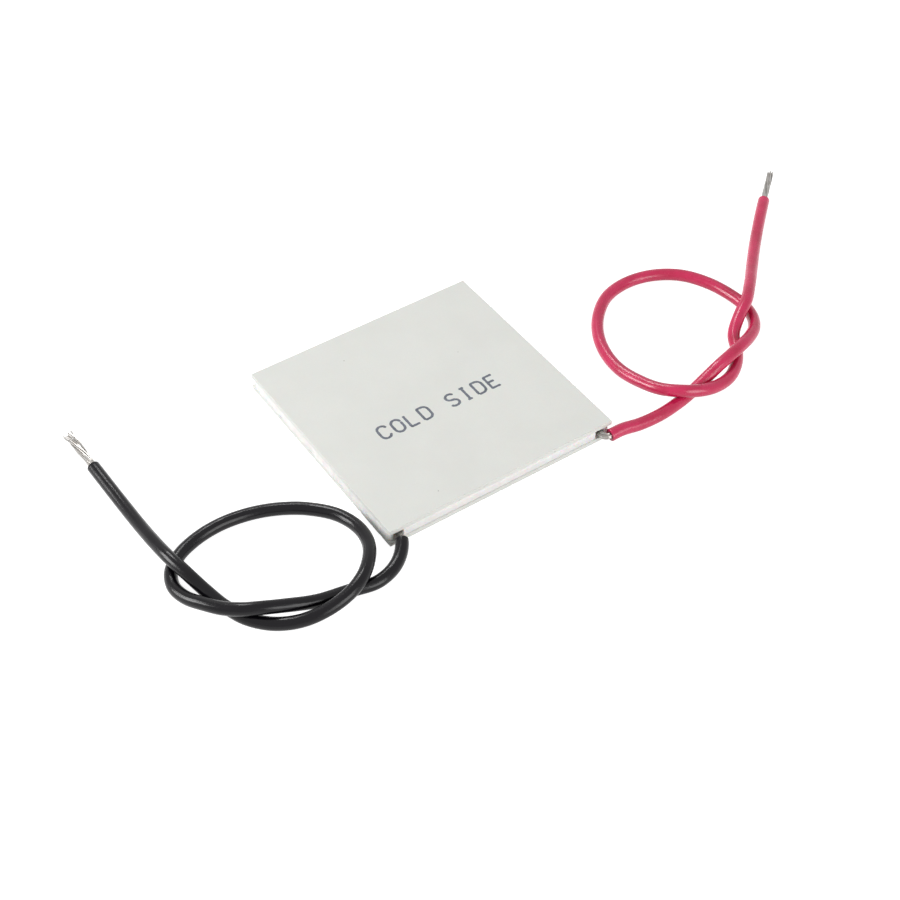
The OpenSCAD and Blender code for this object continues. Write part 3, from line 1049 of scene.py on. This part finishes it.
def add_lamp(name, place_at, aim, size, power):
    """A square soft lamp that faces its aim."""
    data = bpy.data.lights.new(name, "AREA")
    data.shape = "SQUARE"
    data.size = size
    data.energy = power
    turn = (Vector(aim) - Vector(place_at)).to_track_quat("-Z", "Y").to_matrix().to_4x4()
    add_object(name, data).matrix_world = Matrix.Translation(place_at) @ turn


def seen_directly(tree):
    """1 for what the camera sees, straight or in metal and glass, and 0 for light."""
    rays = add_node(tree, "ShaderNodeLightPath")
    either = calculate(
        tree, "MAXIMUM", rays.outputs["Is Camera Ray"], rays.outputs["Is Glossy Ray"]
    )
    return calculate(tree, "MAXIMUM", either, rays.outputs["Is Transmission Ray"])


class COOLER_OT_stage(bpy.types.Operator):
    """Set up the pale floor, the soft lamps and the camera"""

    bl_idname = "cooler.stage"
    bl_label = "Stage"

    def execute(self, context):
        settings = context.scene.cooler_stage
        self.make_floor(settings)
        self.make_world()
        centre = (0, 0, 0)
        add_lamp("key_lamp", (-0.46, 0.24, 0.24), centre, 0.26, 2.7)
        add_lamp("fill_lamp", (0.12, -0.56, 0.2), centre, 0.4, 2.5)
        add_lamp("back_lamp", (0.08, 0.36, 0.46), centre, 0.11, 0.75)
        self.make_camera(context, settings)
        context.scene.view_settings.view_transform = "Standard"
        return {"FINISHED"}

    @staticmethod
    def make_floor(settings):
        """A wide flat sheet that is lit a little and otherwise shows its own white."""
        material = bpy.data.materials.new("white_floor")
        material.use_nodes = True
        tree = material.node_tree
        tree.nodes.clear()
        base = (*settings.floor, 1.0)
        paper = noise(tree, place(tree), 2 * MM)
        lit = blend(tree, paper, tinted(settings.floor, 0.62), tinted(settings.floor, 0.66))
        matt = add_node(tree, "ShaderNodeBsdfDiffuse", inputs={"Color": lit}).outputs[0]
        own_white = calculate(tree, "MULTIPLY", seen_directly(tree), 0.9)
        glow = add_node(
            tree, "ShaderNodeEmission", inputs={"Color": base, "Strength": own_white}
        ).outputs[0]
        both = add_node(tree, "ShaderNodeAddShader", inputs={0: matt, 1: glow})
        add_node(tree, "ShaderNodeOutputMaterial", inputs={"Surface": both.outputs[0]})
        half, drop = 1.5, -0.01 * MM
        mesh = bpy.data.meshes.new("floor")
        sheet = [(x * half, y * half, drop) for x, y in ((-1, -1), (1, -1), (1, 1), (-1, 1))]
        mesh.from_pydata(sheet, [], [(0, 1, 2, 3)])
        mesh.materials.append(material)
        add_object("floor", mesh)

    @staticmethod
    def make_world():
        """White where it is seen, and a soft even light."""
        world = bpy.data.worlds.new("soft_room")
        world.use_nodes = True
        tree = world.node_tree
        tree.nodes.clear()
        soft, seen = 0.28, 1.0
        strength = spread(tree, seen_directly(tree), 0.0, 1.0, soft, seen)
        room = add_node(
            tree, "ShaderNodeBackground", inputs={"Color": (1, 1, 1, 1), "Strength": strength}
        )
        add_node(tree, "ShaderNodeOutputWorld", inputs={"Surface": room.outputs[0]})
        bpy.context.scene.world = world

    @staticmethod
    def make_camera(context, settings):
        """The camera looks at its aim from the given direction and distance."""
        azimuth, elevation, roll = settings.azimuth, settings.elevation, settings.roll
        back = Vector((
            math.sin(azimuth) * math.cos(elevation), -math.cos(azimuth) * math.cos(elevation),
            math.sin(elevation),
        ))
        level = Vector((math.cos(azimuth), math.sin(azimuth), 0))
        above = back.cross(level)
        right = math.cos(roll) * level + math.sin(roll) * above
        up = back.cross(right)
        place_at = Vector(settings.aim) + back * settings.distance
        data = bpy.data.cameras.new("camera")
        data.sensor_width = 36
        data.lens = settings.lens
        data.clip_start = 0.01
        data.clip_end = 10
        camera = add_object("camera", data)
        turn = Matrix((right, up, back)).transposed().to_4x4()
        camera.matrix_world = Matrix.Translation(place_at) @ turn
        context.scene.camera = camera


# ---- add-on


class COOLER_PT_panel(bpy.types.Panel):
    """Sidebar panel with the steps in order."""

    bl_idname = "COOLER_PT_panel"
    bl_label = "Cooling Module"
    bl_space_type = "VIEW_3D"
    bl_region_type = "UI"
    bl_category = "Cooling Module"

    def draw(self, context):
        for title, group, operators in STEPS:
            box = self.layout.box()
            box.label(text=title)
            settings = getattr(context.scene, group, None) if group else None
            if settings is not None:
                for name in settings.__annotations__:
                    box.prop(settings, name)
            for operator in operators:
                box.operator(operator.bl_idname)


STEPS = (
    ("Plates", "cooler_plates", (COOLER_OT_plates,)),
    ("Mark", "cooler_mark", (COOLER_OT_mark,)),
    ("Seal", "cooler_seal", (COOLER_OT_seal,)),
    ("Couples", None, (COOLER_OT_couples, COOLER_OT_solder)),
    ("Leads", "cooler_leads", (COOLER_OT_leads,)),
    ("Stage", "cooler_stage", (COOLER_OT_stage,)),
)
SETTINGS = {
    "cooler_plates": PlateSettings,
    "cooler_mark": MarkSettings,
    "cooler_seal": SealSettings,
    "cooler_leads": LeadSettings,
    "cooler_stage": StageSettings,
}


def all_classes():
    """The classes in the order in which they are registered."""
    operators = [operator for _, _, group in STEPS for operator in group]
    return [*SETTINGS.values(), *operators, COOLER_PT_panel]


def register():
    """Registers the classes and hangs the settings on the scene."""
    for item in all_classes():
        bpy.utils.register_class(item)
    for name, group in SETTINGS.items():
        setattr(bpy.types.Scene, name, PointerProperty(type=group))


def unregister():
    """Takes the settings and the classes away again."""
    for name in SETTINGS:
        delattr(bpy.types.Scene, name)
    for item in reversed(all_classes()):
        bpy.utils.unregister_class(item)


def main():
    """Builds the pieces in order."""
    register()
    bpy.ops.cooler.plates()
    bpy.ops.cooler.mark()
    bpy.ops.cooler.seal()
    bpy.ops.cooler.couples()
    bpy.ops.cooler.solder()
    bpy.ops.cooler.leads()
    bpy.ops.cooler.stage()


if __name__ == "__main__":
    main()
